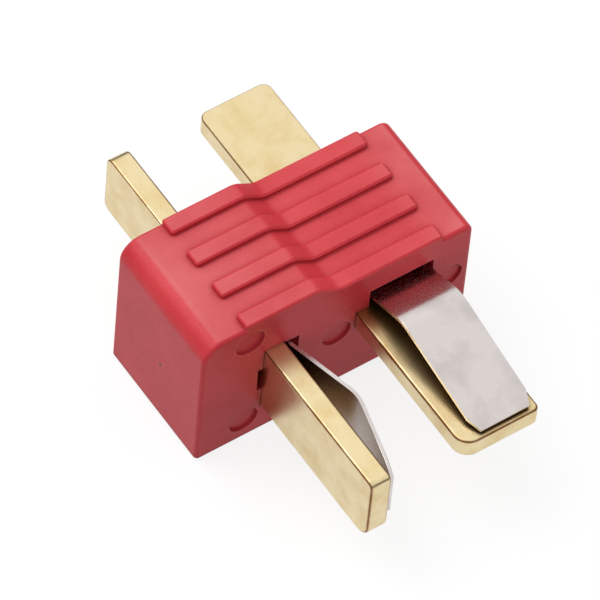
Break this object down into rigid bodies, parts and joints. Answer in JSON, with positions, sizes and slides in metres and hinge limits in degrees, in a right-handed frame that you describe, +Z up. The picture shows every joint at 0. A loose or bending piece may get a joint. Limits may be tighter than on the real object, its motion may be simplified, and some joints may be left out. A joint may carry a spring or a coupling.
{
  "type": "t plug battery connector",
  "caption": "Male T-shaped battery connector: ribbed moulded housing, an upright and a flat blade contact, and a leaf spring on each blade.",
  "frame": {"origin": "under the middle of the whole part, at the level of the underside of the housing's thick end", "axes": "+X along the housing from its thick end to its thin end, +Y from the mating blades to the solder tabs, +Z up through the ribbed top"},
  "size_m": [0.016, 0.0236, 0.0097],
  "materials": {
    "housing_nylon": "moulded glass-filled nylon, satin sheen",
    "contact_gold_plate": "thin gold plate over stamped brass bar",
    "leaf_spring_steel": "rolled stainless spring strip, fine grain along the strip"
  },
  "bodies": {
    "plug": {"housing": "housing_nylon", "upright_contact": "contact_gold_plate", "flat_contact": "contact_gold_plate"},
    "upright_leaf": {"upright_spring": "leaf_spring_steel"},
    "flat_leaf": {"flat_spring": "leaf_spring_steel"}
  },
  "joints": [
    {"name": "upright_leaf_flex", "type": "hinge", "parent": "plug", "child": "upright_leaf", "pos_m": [-0.00288, 0.00128, 0.0048], "axis": [0, 0, -1], "range_deg": [0, 0.4], "stiffness_Nm_per_rad": 0.2},
    {"name": "flat_leaf_flex", "type": "hinge", "parent": "plug", "child": "flat_leaf", "pos_m": [0.0038, 0.00128, 0.00622], "axis": [1, 0, 0], "range_deg": [0, 0.4], "stiffness_Nm_per_rad": 0.2}
  ]
}
